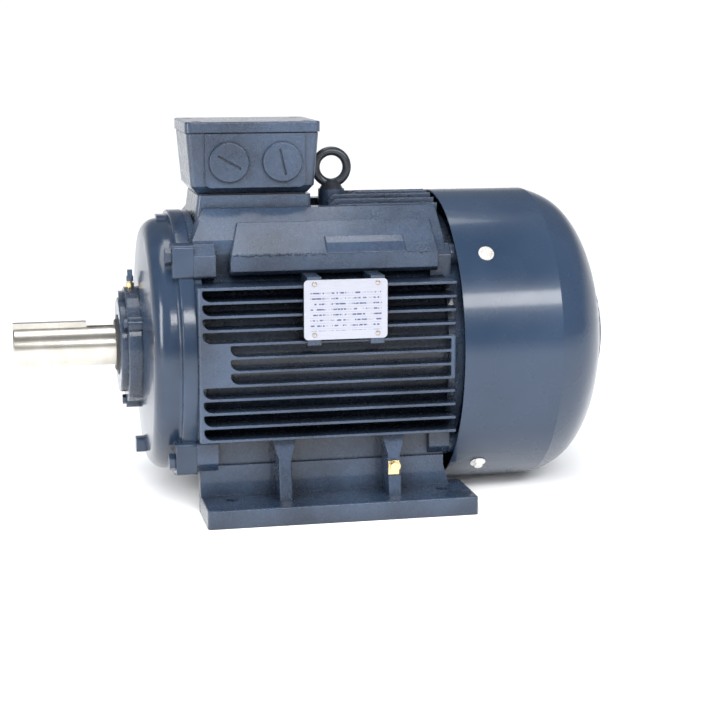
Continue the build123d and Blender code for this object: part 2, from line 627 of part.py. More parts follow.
# ---- fan cover -----------------------------------------------------------------------------
def cover_profile(inset):
    """Outline of the cover from its rim to the pole, moved inward by the wall thickness."""
    seam = Vector(COVER_SEAM_X, 0, COVER_R - inset)
    pole = Vector(COVER_END_X - inset, 0, 0)
    points = [seam]
    for x, radius, slope in COVER_DOME:
        lean = radians(slope)
        points.append(Vector(x - inset * sin(lean), 0, radius - inset * cos(lean)))
    points.append(pole)
    start = radians(COVER_SEAM_SLOPE)
    side = Line((COVER_X0, 0, COVER_R - inset), seam)
    dome = Spline(*points, tangents=[(cos(start), 0, -sin(start)), (0, 0, -1)])
    return side, dome


def make_fan_cover():
    """Pressed steel fan cover with a ringed air inlet in its rear crown."""
    outer = cover_profile(0)
    inner = cover_profile(COVER_WALL)
    closing = Line((COVER_END_X, 0, 0), (COVER_END_X - COVER_WALL, 0, 0))
    rim = Line((COVER_X0, 0, COVER_R), (COVER_X0, 0, COVER_R - COVER_WALL))
    outline = list(outer) + [closing] + list(inner) + [rim]
    cover = AXLE * revolve(make_face(Curve() + outline), Axis.X)
    slots = []
    for radius in range(32, 129, 16):
        annulus = Circle(radius + 4.5) - Circle(radius - 4.5)
        ribs = [Rot(0, 0, 60 * i + 30) * Pos(80, 0) * Rectangle(160, 9) for i in range(6)]
        slots.append(AXLE * (Plane.YZ.offset(400) * extrude(annulus - ribs, 60)))
    holes = polar(rod((COVER_SCREW_X, 0, 190), (COVER_SCREW_X, 0, 240), 4.6), COVER_SCREW_ANGLES)
    return cover - slots - holes


def cover_screws():
    """Screws through the fan cover, radial."""
    seat = COVER_R + 2.2
    bolt = Pos(COVER_SCREW_X, 0, seat) * hex_bolt(12, 6, 4.0, 24)
    return polar(bolt, COVER_SCREW_ANGLES)


def cover_washers():
    """Washers under the cover screws."""
    washer = Pos(COVER_SCREW_X, 0, COVER_R + 1.3) * (Cylinder(11.5, 1.8) - Cylinder(4.3, 3))
    return polar(washer, COVER_SCREW_ANGLES)


# ---- terminal box --------------------------------------------------------------------------
def tapered_box(inset, z0, z1):
    """Box body between two heights, narrower at its foot, moved inward by a wall."""
    def section(z):
        lean = (BOX_Z1 - z) / (BOX_Z1 - BOX_TAPER_Z)
        x0 = BOX_X0 + 6 * lean + inset
        x1 = BOX_X1 - 6 * lean - inset
        half = BOX_HALF_Y - 5 * lean - inset
        plane = Plane(origin=((x0 + x1) / 2, 0, z))
        return plane * RectangleRounded(x1 - x0, 2 * half, 9 - inset / 2)
    return loft([section(z0), section(z1)])


def make_box_body():
    """Terminal box body with gland panels and an opening in its floor."""
    body = tapered_box(0, BOX_TAPER_Z, BOX_Z1)
    low = Plane(origin=(-103, 0, BOX_Z0)) * RectangleRounded(164, 122, 6)
    high = Plane(origin=(-103, 0, BOX_TAPER_Z)) * RectangleRounded(182, 140, 9)
    body += loft([low, high])
    for side in (-1, 1):
        panel = block(-174, -27, min(side * 60, side * PANEL_Y), max(side * 60, side * PANEL_Y),
                      BOX_TAPER_Z - 2, BOX_Z1)
        panel = fillet(panel.edges().filter_by(Axis.Y).group_by(Axis.Z)[0], 9)
        body += panel
    cavity = tapered_box(BOX_WALL, BOX_TAPER_Z, BOX_Z1 + 1)
    cuts = [block(-155, -50, -42, 42, 450, 480)]
    for x in PLUG_X:
        cuts.append(rod((x, -90, PLUG_Z), (x, -50, PLUG_Z), PLUG_THREAD_R))
    for x in BOX_BOLT_X:
        for y in BOX_BOLT_Y:
            cuts.append(rod((x, y, 450), (x, y, 480), 4.6))
    for x in LID_SCREW_X:
        for y in LID_SCREW_Y:
            inner_x = x + 9.0 if x < -100 else x - 9.0
            outer_x = BOX_X0 - 10 if x < -100 else BOX_X1 + 10
            inner_y = y - 9.0 if y > 0 else y + 9.0
            outer_y = 90.0 if y > 0 else -90.0
            cavity -= block(min(inner_x, outer_x), max(inner_x, outer_x), min(inner_y, outer_y),
                            max(inner_y, outer_y), BOX_Z0, BOX_Z1 + 5)
            cuts.append(rod((x, y, BOX_Z1 - 22), (x, y, BOX_Z1 + 1), 3.0))
    return body - [cavity] - cuts


def make_box_lid():
    """Terminal box lid with recesses for its screws."""
    plane = Plane(origin=(-103, 0, BOX_Z1 + 1.5))
    lid = extrude(plane * RectangleRounded(198, 153, 9), LID_Z1 - BOX_Z1 - 1.5)
    lid = fillet(lid.edges().group_by(Axis.Z)[-1], 2.5)
    lid -= block(-188, -18, -60, 60, BOX_Z1, LID_Z1 - 5)
    for x in LID_SCREW_X:
        for y in LID_SCREW_Y:
            lid += rod((x, y, BOX_Z1 + 1.5), (x, y, LID_Z1 - 4), 10)
            lid -= rod((x, y, LID_Z1 - 7.5), (x, y, LID_Z1 + 1), 7)
            lid -= rod((x, y, BOX_Z1), (x, y, LID_Z1), 3.4)
    return lid


def make_lid_gasket():
    """Flat gasket between the box and its lid."""
    plane = Plane(origin=(-103, 0, BOX_Z1))
    gasket = extrude(plane * RectangleRounded(192, 147, 8), 1.5)
    gasket -= block(-190, -16, -65, 65, BOX_Z1 - 1, BOX_Z1 + 3)
    for x in LID_SCREW_X:
        for y in LID_SCREW_Y:
            gasket += rod((x, y, BOX_Z1), (x, y, BOX_Z1 + 1.5), 9)
            gasket -= rod((x, y, BOX_Z1 - 1), (x, y, BOX_Z1 + 3), 3.4)
    return gasket


def make_neck_gasket():
    """Flat gasket between the neck and the box floor."""
    plane = Plane(origin=(-103, 0, NECK_TOP_Z))
    gasket = extrude(plane * RectangleRounded(160, 118, 6), BOX_Z0 - NECK_TOP_Z)
    gasket -= block(-155, -50, -42, 42, 450, 460)
    for x in BOX_BOLT_X:
        for y in BOX_BOLT_Y:
            gasket -= rod((x, y, 450), (x, y, 460), 4.6)
    return gasket


def screw_group(xs, ys, seat_z, screw):
    """The same upright screw at each corner of a rectangle."""
    return [Pos(x, y, seat_z) * screw for x in xs for y in ys]


def make_entry_plug(x, slot_angle):
    """Slotted round plug that closes a cable entry."""
    plug = rod((x, -PANEL_Y - 7, PLUG_Z), (x, -PANEL_Y - 1.5, PLUG_Z), PLUG_HEAD_R)
    plug = fillet(plug.edges().group_by(Axis.Y)[0], 2.5)
    plug += rod((x, -PANEL_Y - 2, PLUG_Z), (x, -PANEL_Y + 12, PLUG_Z), PLUG_THREAD_R - 0.1)
    slot = Pos(x, -PANEL_Y - 7, PLUG_Z) * Rot(Y=slot_angle) * Box(38, 5, 3)
    return plug - slot


def make_plug_rings():
    """Sealing rings under the two entry plugs."""
    rings = []
    for x in PLUG_X:
        disc = rod((x, -PANEL_Y - 1.5, PLUG_Z), (x, -PANEL_Y, PLUG_Z), PLUG_HEAD_R - 1)
        rings.append(disc - rod((x, -90, PLUG_Z), (x, -60, PLUG_Z), PLUG_THREAD_R))
    return rings


def make_terminal_board():
    """Moulded terminal board on two feet beside the floor opening."""
    board = block(-142, -62, -34, 34, BOARD_Z0, BOARD_Z1)
    board += [block(-142, -62, y0, y0 + 12, BOARD_Z0 - 8, BOARD_Z1) for y0 in (-56, 44)]
    board += [block(-142, -62, y0, y0 + 14, BOARD_Z0, BOARD_Z1) for y0 in (-46, 32)]
    walls = [block(x - 1, x + 1, -30, 30, BOARD_Z1, BOARD_Z1 + 9) for x in (-114, -90)]
    return joined([board] + walls)


def make_terminal_studs():
    """Brass studs in the board."""
    return [rod((x, y, BOARD_Z1), (x, y, BOARD_Z1 + 26), 4) for x in STUD_X for y in STUD_Y]


def make_terminal_links():
    """Brass links, each joining the two studs of one phase."""
    links = []
    for x in STUD_X:
        link = block(x - 7, x + 7, -29, 29, BOARD_Z1 + 3.2, BOARD_Z1 + 5.7)
        links.append(link - [rod((x, y, 480), (x, y, 510), 4.2) for y in STUD_Y])
    return links


def make_terminal_nuts():
    """Nuts and washers that clamp the links."""
    nuts = []
    for x in STUD_X:
        for y in STUD_Y:
            outline = RegularPolygon(6.5, 6, major_radius=False) - Circle(4.0)
            nuts.append(Pos(x, y, BOARD_Z1 + 5.7) * extrude(outline, 6.5))
    return nuts


def make_leads():
    """Winding leads, from the drive-end turns up through the neck to the terminal studs."""
    leads = []
    for stud_x, lane in zip(STUD_X, (20.0, 11.0, 4.0)):
        for side in (-1, 1):
            y = side * lane
            low = (LEAD_X, y, H + 162.6)
            over = (stud_x - 14, y, LEAD_Z)
            end = (stud_x - 5, side * (19.9 if lane > 15 else 14.0), LEAD_Z)
            route = FilletPolyline(low, (LEAD_X, y, LEAD_Z), over, end, radius=(9, 3.5))
            section = Plane(origin=low, z_dir=(0, 0, 1)) * Circle(3.1)
            leads.append(sweep(section, route))
    return leads


# ---- fittings ------------------------------------------------------------------------------
def make_eyebolt():
    """Lifting eyebolt: ring, collar and threaded shank."""
    ring_z = EYE_SEAT_Z + 32.5
    section = Plane.XZ * Pos(24.0, 0) * Circle(6.6)
    eye = revolve(section, Axis.Z)
    eye = Pos(EYE_X, 0, ring_z) * Rot(X=90) * eye
    collar = Pos(EYE_X, 0, EYE_SEAT_Z) * Cone(18, 13, 9, align=(Align.CENTER, Align.CENTER, Align.MIN))
    neck = Pos(EYE_X, 0, EYE_SEAT_Z + 8) * Cone(13, 9, 6, align=(Align.CENTER, Align.CENTER, Align.MIN))
    shank = rod((EYE_X, 0, EYE_SEAT_Z - 27), (EYE_X, 0, EYE_SEAT_Z + 1), 6.95)
    body = joined([eye, collar, neck, shank])
    return body - rod((EYE_X, -20, ring_z), (EYE_X, 20, ring_z), 17.45)


def make_nameplate():
    """Blank rating plate with rounded corners."""
    width, height = PLATE_X[1] - PLATE_X[0], PLATE_Z[1] - PLATE_Z[0]
    centre = (sum(PLATE_X) / 2, -212, sum(PLATE_Z) / 2)
    plane = Plane(origin=centre, x_dir=(1, 0, 0), z_dir=(0, -1, 0))
    plate = extrude(plane * RectangleRounded(width, height, 6), 1.2)
    return plate - [rod((x, -215, z), (x, -205, z), 1.7) for x in PLATE_RIVET_X for z in PLATE_RIVET_Z]


def make_plate_rivets():
    """Drive rivets of the rating plate."""
    rivets = []
    for x in PLATE_RIVET_X:
        for z in PLATE_RIVET_Z:
            head = Pos(x, -213.2, z) * (Sphere(3.4) & Pos(0, -3.4, 0) * Box(8, 6.8, 8))
            rivets.append(head + rod((x, -213.4, z), (x, -204, z), 1.55))
    return rivets


def make_ground_bolt():
    """Brass earthing bolt with its flange."""
    bolt = hex_bolt(13, 6.5, 3.95, 22) + Cylinder(9, 1.6, align=(Align.CENTER, Align.CENTER, Align.MIN))
    return along(GUSSET_X, -GROUND_FACE_Y - 1.6, GROUND_Z, (0, -1, 0)) * bolt


def make_ground_tab():
    """Brass clamp plate under the earthing bolt."""
    y0, y1 = -GROUND_FACE_Y - 1.6, -GROUND_FACE_Y
    tab = block(GUSSET_X - 9, GUSSET_X + 7, y0, y1, GROUND_Z - 12.5, GROUND_Z + 8)
    return tab - rod((GUSSET_X, -200, GROUND_Z), (GUSSET_X, -180, GROUND_Z), 4.0)


def make_grease_fitting():
    """Brass grease nipple in the top of the drive-end bearing cap."""
    x, z = -280.0, H + 86
    body = rod((x, 0, z - 14), (x, 0, z + 1), 3.95) + rod((x, 0, z), (x, 0, z + 7), 6)
    return body + rod((x, 0, z + 6), (x, 0, z + 14), 3.4)


def make_grease_cap():
    """Dust cap with its pull tab on the grease nipple."""
    x, z = -280.0, H + 100
    cap = rod((x, 0, z - 5), (x, 0, z + 3), 5.2) - rod((x, 0, z - 7), (x, 0, z), 3.5)
    return cap + block(x - 3.6, x + 3.6, -5, 5, z + 1, z + 12)


def drain_plugs():
    """Plugs in the two drain holes under the barrel."""
    return [Pos(x, 0, 38) * Rot(X=180) * hex_bolt(13, 5, 5.95, 16) for x in (-150, 130)]


def main():
    """Build every node and write it."""
    save("stator_frame", make_frame())
    save("drive_end_shield", make_drive_shield())
    save("fan_end_shield", make_fan_shield())
    save("drive_outer_bearing_cap", make_drive_outer_cap())
    save("drive_inner_bearing_cap", make_drive_inner_cap())
    save("fan_end_outer_bearing_cap", make_fan_outer_cap())
    save("fan_end_inner_bearing_cap", make_fan_inner_cap())
    save("drive_cap_bolts", cap_bolts(-290, -1, 80))
    save("fan_end_cap_bolts", cap_bolts(260, 1, 66))
    save("drive_shield_bolts", shield_bolts(-233, -1, BOLT_CIRCLE_R, 22, 6.95, 52))
    save("fan_end_shield_bolts", shield_bolts(FRAME_X1 + 22, 1, FAN_BOLT_CIRCLE_R, 18, 5.95, 44))

    for end, x in (("drive", DRIVE_BEARING_X), ("fan_end", FAN_BEARING_X)):
        save(end + "_bearing_outer_race", make_outer_race(x))
        save(end + "_bearing_inner_race", make_inner_race(x))
        save(end + "_bearing_balls", ball_ring(x, BALL_R))
        save(end + "_bearing_cage", make_ball_cage(x))
    save("preload_spring", make_preload_spring())
    save("drive_v_ring", make_v_ring(-300.3, -304.6, 31.55, 45))
    save("fan_end_v_ring", make_v_ring(266.3, 271.5, 27.55, 40))

    save("shaft", make_shaft())
    save("shaft_key", make_shaft_key())
    save("rotor_core", make_rotor_core())
    save("rotor_cage", make_rotor_cage())
    save("cooling_fan", make_fan())
    save("fan_key", block(FAN_KEY_X0, FAN_KEY_X1, -4, 4, H + 23.5, H + 30.5))
    save("fan_snap_ring", ring(FAN_CLIP_X - 1, FAN_CLIP_X + 1, 31, 25.7))

    save("stator_core", make_stator_core())
    save("stator_winding", make_winding())
    save("winding_leads", make_leads())

    save("fan_cover", make_fan_cover())
    save("fan_cover_screws", cover_screws())
    save("fan_cover_washers", cover_washers())

    save("terminal_box", make_box_body())
    save("terminal_box_lid", make_box_lid())
    save("lid_gasket", make_lid_gasket())
    save("neck_gasket", make_neck_gasket())
    save("lid_screws", screw_group(LID_SCREW_X, LID_SCREW_Y, LID_Z1 - 7.5,
                                   hex_bolt(11, 5, 2.95, 28, socket=True)))
    save("box_screws", screw_group(BOX_BOLT_X, BOX_BOLT_Y, BOX_TAPER_Z,
                                   hex_bolt(13, 5.5, 3.95, 26)))
    save("entry_plug_drive_side", make_entry_plug(PLUG_X[0], 29))
    save("entry_plug_fan_side", make_entry_plug(PLUG_X[1], 77))
    save("plug_seal_rings", make_plug_rings())
    save("terminal_board", make_terminal_board())
    save("terminal_studs", make_terminal_studs())
    save("terminal_links", make_terminal_links())
    save("terminal_nuts", make_terminal_nuts())

    save("eyebolt", make_eyebolt())
    save("nameplate", make_nameplate())
    save("nameplate_rivets", make_plate_rivets())
    save("ground_bolt", make_ground_bolt())
    save("ground_clamp", make_ground_tab())
    save("grease_nipple", make_grease_fitting())
    save("grease_nipple_cap", make_grease_cap())
    save("drain_plugs", drain_plugs())


main()
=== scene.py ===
"""Looks for the foot-mounted electric motor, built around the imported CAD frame."""
import json
import math
import random

import bmesh
import bpy
from mathutils import Euler, Matrix, Vector


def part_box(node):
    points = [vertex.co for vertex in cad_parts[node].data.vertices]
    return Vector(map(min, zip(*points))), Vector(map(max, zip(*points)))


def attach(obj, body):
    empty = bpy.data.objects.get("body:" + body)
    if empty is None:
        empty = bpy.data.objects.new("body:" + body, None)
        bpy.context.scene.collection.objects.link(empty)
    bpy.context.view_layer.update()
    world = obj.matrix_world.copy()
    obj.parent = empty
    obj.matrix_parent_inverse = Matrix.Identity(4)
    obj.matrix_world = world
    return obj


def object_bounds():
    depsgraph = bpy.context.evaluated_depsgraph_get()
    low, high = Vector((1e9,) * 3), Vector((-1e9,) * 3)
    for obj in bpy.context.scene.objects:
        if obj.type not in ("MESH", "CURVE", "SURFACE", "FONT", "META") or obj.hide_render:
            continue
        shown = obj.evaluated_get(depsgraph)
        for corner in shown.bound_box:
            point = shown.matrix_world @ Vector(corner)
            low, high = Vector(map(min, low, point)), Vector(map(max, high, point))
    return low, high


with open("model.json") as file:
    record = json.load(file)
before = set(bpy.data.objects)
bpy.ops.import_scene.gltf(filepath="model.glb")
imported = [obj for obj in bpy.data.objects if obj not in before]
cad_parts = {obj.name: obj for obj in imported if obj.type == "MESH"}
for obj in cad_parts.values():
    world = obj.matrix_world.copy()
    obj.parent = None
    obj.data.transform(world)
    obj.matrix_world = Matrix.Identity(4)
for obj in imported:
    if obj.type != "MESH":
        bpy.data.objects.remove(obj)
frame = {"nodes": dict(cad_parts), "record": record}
nodes = frame["nodes"]
cad_low, cad_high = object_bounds()

# ---- colours, all linear RGB ------------------------------------------------------------------
PAINT_DARK = (0.010, 0.018, 0.034)
PAINT_LIGHT = (0.026, 0.043, 0.076)
COVER_DARK = (0.012, 0.023, 0.044)
COVER_LIGHT = (0.019, 0.033, 0.060)
# near-black painted shade for crevices and the gaps between fins
PAINTED_CREVICE_SHADE = (0.002, 0.003, 0.005)
DUST = (0.12, 0.15, 0.19)
PLATE_LIGHT = (0.40, 0.41, 0.46)
PLATE_DARK = (0.28, 0.29, 0.35)
PLATE_RULE = (0.10, 0.12, 0.22)
PLATE_PRINT = (0.04, 0.05, 0.13)
VARNISH_DARK = (0.20, 0.055, 0.015)
VARNISH_LIGHT = (0.48, 0.17, 0.05)
FLOOR_COOL = (0.93, 0.94, 0.95)
FLOOR_WARM = (0.96, 0.96, 0.96)

# ---- rounded-edge radii in metres ---------------------------------------------------------------
CAST_EDGE = 0.0021
SHIELD_EDGE = 0.003
SHEET_EDGE = 0.0012
METAL_EDGE = 0.0005
MOULDED_EDGE = 0.0006
PLATE_EDGE = 0.0004

# ---- how far tool marks repeat per metre along X, Y and Z ---------------------------------------
EVEN_MARKS = (700.0, 700.0, 700.0)
GROUND_MARKS = (1500.0, 18.0, 18.0)
LAMINATIONS = (1900.0, 30.0, 30.0)
BRUSHED_MARKS = (60.0, 900.0, 1600.0)
WIRES = (900.0, 120.0, 120.0)

# ---- rating plate print -------------------------------------------------------------------------
PLATE_ROWS = 11.0
PLATE_COLUMNS = 4.0
WORDS_PER_METRE = 420.0

# ---- studio, in metres and watts ----------------------------------------------------------------
FLOOR_HALF_SIZE = 30.0
FLOOR_DROP = 0.0006
HORIZON_GLOW = (1.0, 1.0, 1.0)
CEILING_GLOW = (0.20, 0.22, 0.26)
ROOM_GLOW = (0.13, 0.14, 0.16)
WORLD_STRENGTH = 1.08
LIGHT_AIM = (0.0, 0.0, 0.25)
FRONT_BAND_AIM = (0.35, -0.2, 0.3)
SOFTBOXES = (
    # name, place, aim, width and height, watts
    ("key_left", (-2.5, -1.3, 1.1), LIGHT_AIM, (0.7, 1.5), 42.0),
    ("overhead", (-0.2, 0.3, 2.6), LIGHT_AIM, (2.2, 0.9), 26.0),
    ("front_band", (1.1, -2.3, 1.75), FRONT_BAND_AIM, (2.6, 0.5), 62.0),
)
FILL_STRENGTH = 5.6
FILL_SPREAD = math.radians(55.0)
FILL_DIRECTION = (0.3, 0.9, -0.62)

# ---- camera -------------------------------------------------------------------------------------
SENSOR_WIDTH = 36.0
FOCAL_LENGTH = 86.15
CAMERA_PLACE = (-0.4778, -2.561, 0.679)
CAMERA_TILT = math.radians(79.43)
CAMERA_TURN = math.radians(-12.09)
VIEW_DISTANCE = 200.0

# ---- casting flash along the lower edges of the sloping pads, in metres -------------------------
PAD_EDGE_Y = 0.171
PAD_EDGE_Z = 0.379
DRIVE_FLASH_X = (-0.149, -0.015)
FAN_FLASH_X = (0.104, 0.149)
DRIVE_FLASH_SEED = 11
FAN_FLASH_SEED = 21
LUMP_SPACING = 0.0024
FLASH_VOXEL = 0.00055


# ---- node helpers -------------------------------------------------------------------------------
class Tree:
    """A material with one Principled shader and short calls for the nodes in front of it."""

    def __init__(self, name):
        self.material = bpy.data.materials.new(name)
        self.material.use_nodes = True
        self.nodes = self.material.node_tree.nodes
        self.links = self.material.node_tree.links
        self.nodes.clear()
        out = self.nodes.new("ShaderNodeOutputMaterial")
        self.shader = self.nodes.new("ShaderNodeBsdfPrincipled")
        self.links.new(self.shader.outputs[0], out.inputs[0])
        self.coords = self.nodes.new("ShaderNodeTexCoord").outputs["Object"]

    def put(self, socket, value):
        """Link a socket, or set it where the value is plain."""
        if isinstance(value, bpy.types.NodeSocket):
            self.links.new(value, socket)
        elif isinstance(value, tuple) and len(value) == 3 and len(socket.default_value) == 4:
            socket.default_value = (*value, 1.0)
        else:
            socket.default_value = value

    def set(self, **values):
        """Fill the shader's inputs, named with underscores for spaces."""
        for name, value in values.items():
            self.put(self.shader.inputs[name.replace("_", " ")], value)

    def stretched(self, scale):
        """The object's coordinates, scaled by axis."""
        node = self.nodes.new("ShaderNodeMapping")
        self.put(node.inputs["Vector"], self.coords)
        node.inputs["Scale"].default_value = scale
        return node.outputs[0]

    def noise(self, scale, detail=3.0, rough=0.55, vector=None):
        node = self.nodes.new("ShaderNodeTexNoise")
        self.put(node.inputs["Vector"], self.coords if vector is None else vector)
        node.inputs["Scale"].default_value = scale
        node.inputs["Detail"].default_value = detail
        node.inputs["Roughness"].default_value = rough
        return node.outputs["Fac"]

    def streaks(self, marks, detail=3.0, rough=0.6):
        """Noise that is stretched by the given repeats along each axis."""
        return self.noise(1.0, detail, rough, self.stretched(marks))

    def cells(self, scale):
        """Distance to the nearest of a scatter of points."""
        node = self.nodes.new("ShaderNodeTexVoronoi")
        self.put(node.inputs["Vector"], self.coords)
        node.inputs["Scale"].default_value = scale
        return node.outputs["Distance"]

    def range(self, value, low, high, out_low, out_high):
        """Map low..high to out_low..out_high, clamped."""
        node = self.nodes.new("ShaderNodeMapRange")
        for socket, number in zip(node.inputs, (value, low, high, out_low, out_high)):
            self.put(socket, number)
        return node.outputs[0]

    def math(self, operation, a, b=0.0):
        node = self.nodes.new("ShaderNodeMath")
        node.operation = operation
        self.put(node.inputs[0], a)
        self.put(node.inputs[1], b)
        return node.outputs[0]

    def times(self, *factors):
        """The product of any number of values."""
        product = factors[0]
        for factor in factors[1:]:
            product = self.math("MULTIPLY", product, factor)
        return product

    def mix(self, factor, a, b):
        node = self.nodes.new("ShaderNodeMix")
        node.data_type = "RGBA"
        self.put(node.inputs[0], factor)
        self.put(node.inputs[6], a)
        self.put(node.inputs[7], b)
        return node.outputs[2]

    def edges(self, radius):
        """Normals that look rounded at every edge."""
        node = self.nodes.new("ShaderNodeBevel")
        node.samples = 4
        node.inputs["Radius"].default_value = radius
        return node.outputs[0]

    def bump(self, height, distance, strength, normal=None):
        node = self.nodes.new("ShaderNodeBump")
        self.put(node.inputs["Height"], height)
        node.inputs["Distance"].default_value = distance
        node.inputs["Strength"].default_value = strength
        if normal is not None:
            self.put(node.inputs["Normal"], normal)
        return node.outputs[0]

    def hollow(self, distance):
        """0 in a crevice and 1 in the open."""
        node = self.nodes.new("ShaderNodeAmbientOcclusion")
        node.samples = 4
        node.inputs["Distance"].default_value = distance
        return node.outputs["AO"]

    def split(self):
        """X, Y and Z of the object's coordinates."""
        node = self.nodes.new("ShaderNodeSeparateXYZ")
        self.put(node.inputs[0], self.coords)
        return node.outputs


# ---- materials ----------------------------------------------------------------------------------
def cast_paint(name, grain, edge, gloss):
    """Enamel over a sand casting: fine grain, shallow lumps, a few pits, painted shade in crevices."""
    t = Tree(name)
    base = t.mix(t.range(t.noise(9.0, 4.0, 0.6), 0.35, 0.65, 0.0, 1.0), PAINT_DARK, PAINT_LIGHT)
    base = t.mix(t.range(t.noise(420.0, 2.0), 0.45, 0.75, 0.0, 0.3), base, PAINT_LIGHT)
    # painted shade: ambient occlusion darkens the colour towards near-black in crevices and between fins
    base = t.mix(t.range(t.hollow(0.045), 0.12, 0.80, 0.93, 0.0), base, PAINTED_CREVICE_SHADE)
    normal = t.edges(edge)
    normal = t.bump(t.noise(70.0, 4.0, 0.6), 0.0014 * grain, 0.6, normal)
    normal = t.bump(t.noise(430.0, 3.0, 0.7), 0.0008 * grain, 0.9, normal)
    pits = t.range(t.cells(150.0), 0.06, 0.16, 0.0, 1.0)
    normal = t.bump(pits, 0.0004 * grain, 0.6, normal)
    rough = t.range(t.noise(60.0, 3.0), 0.3, 0.7, gloss - 0.06, gloss + 0.08)
    t.set(Base_Color=base, Roughness=rough, Normal=normal)
    t.set(Coat_Weight=0.45, Coat_Roughness=0.10, Specular_IOR_Level=0.42)
    return t.material


def smooth_paint(name, dark, light, gloss, wave, edge):
    """Sprayed enamel on a pressed or machined surface, with faint orange peel."""
    t = Tree(name)
    base = t.mix(t.range(t.noise(5.0, 3.0), 0.35, 0.65, 0.0, 1.0), dark, light)
    base = t.mix(t.range(t.noise(900.0, 2.0), 0.62, 0.78, 0.0, 0.05), base, DUST)
    normal = t.edges(edge)
    normal = t.bump(t.noise(26.0, 2.0), 0.0012 * wave, 0.4, normal)
    normal = t.bump(t.noise(260.0, 2.0), 0.00016 * wave, 0.5, normal)
    rough = t.range(t.noise(14.0, 4.0), 0.3, 0.7, gloss - 0.03, gloss + 0.05)
    t.set(Base_Color=base, Roughness=rough, Normal=normal)
    t.set(Coat_Weight=0.35, Coat_Roughness=0.10, Specular_IOR_Level=0.32)
    return t.material


def metal(name, colour, dark, gloss, marks=EVEN_MARKS, grain=1.0, bare=1.0):
    """Bare metal with tool marks; a bare value under 1 is a dull plated skin."""
    t = Tree(name)
    lines = t.streaks(marks)
    base = t.mix(t.range(t.noise(30.0, 4.0), 0.35, 0.7, 0.0, 0.8), colour, dark)
    base = t.mix(t.range(lines, 0.3, 0.7, 0.25, 0.0), base, dark)
    rough = t.range(lines, 0.3, 0.7, gloss - 0.07 * grain, gloss + 0.09 * grain)
    normal = t.bump(lines, 0.00006 * grain, 0.6, t.edges(METAL_EDGE))
    t.set(Base_Color=base, Metallic=bare, Roughness=rough, Normal=normal)
    return t.material


def plain(name, colour, light, gloss, scale=300.0, depth=0.0002):
    """Plastic, rubber or resin with a fine moulded grain."""
    t = Tree(name)
    base = t.mix(t.range(t.noise(scale / 6, 3.0), 0.35, 0.65, 0.0, 1.0), colour, light)
    normal = t.bump(t.noise(scale, 3.0), depth, 0.5, t.edges(MOULDED_EDGE))
    rough = t.range(t.noise(scale / 3, 3.0), 0.3, 0.7, gloss - 0.06, gloss + 0.06)
    t.set(Base_Color=base, Roughness=rough, Normal=normal)
    return t.material


def plate_material():
    """Brushed plate with a printed grid of rules and broken rows, and no lettering."""
    t = Tree("rating_plate")
    low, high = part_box("nameplate")
    x, _, z = t.split()
    across = t.range(x, low.x, high.x, 0.0, 1.0)
    upward = t.range(z, low.z, high.z, 0.0, 1.0)
    brushed = t.streaks(BRUSHED_MARKS)
    base = t.mix(t.range(brushed, 0.3, 0.7, 0.0, 0.5), PLATE_LIGHT, PLATE_DARK)
    row = t.math("FRACT", t.math("MULTIPLY", upward, PLATE_ROWS))
    column = t.math("FRACT", t.math("MULTIPLY", across, PLATE_COLUMNS))
    rows_per_metre = PLATE_ROWS / (high.z - low.z)
    words = t.streaks((WORDS_PER_METRE, 1.0, rows_per_metre * 0.9), 2.0, 0.5)
    margins = (t.range(across, 0.07, 0.075, 0.0, 1.0), t.range(across, 0.925, 0.93, 1.0, 0.0),
               t.range(upward, 0.14, 0.15, 0.0, 1.0), t.range(upward, 0.80, 0.81, 1.0, 0.0))
    inside = t.times(*margins)
    printed = t.times(t.range(row, 0.38, 0.42, 0.0, 1.0), t.range(row, 0.66, 0.70, 1.0, 0.0),
                      t.range(words, 0.44, 0.52, 0.0, 1.0), t.range(column, 0.30, 0.34, 0.25, 1.0), inside)
    rule = t.times(t.range(row, 0.02, 0.05, 1.0, 0.0), inside)
    base = t.mix(t.math("MULTIPLY", rule, 0.65), base, PLATE_RULE)
    base = t.mix(t.math("MULTIPLY", printed, 0.92), base, PLATE_PRINT)
    normal = t.bump(brushed, 0.00003, 0.5, t.edges(PLATE_EDGE))
    t.set(Base_Color=base, Metallic=0.60, Roughness=0.34, Normal=normal)
    return t.material


def winding_material():
    """Varnished copper end turns with a fine wire pattern."""
    t = Tree("winding_varnish")
    wires = t.streaks(WIRES, 2.0, 0.5)
    base = t.mix(t.range(wires, 0.35, 0.65, 0.0, 1.0), VARNISH_DARK, VARNISH_LIGHT)
    t.set(Base_Color=base, Roughness=0.35, Normal=t.bump(wires, 0.0004, 0.8))
    return t.material


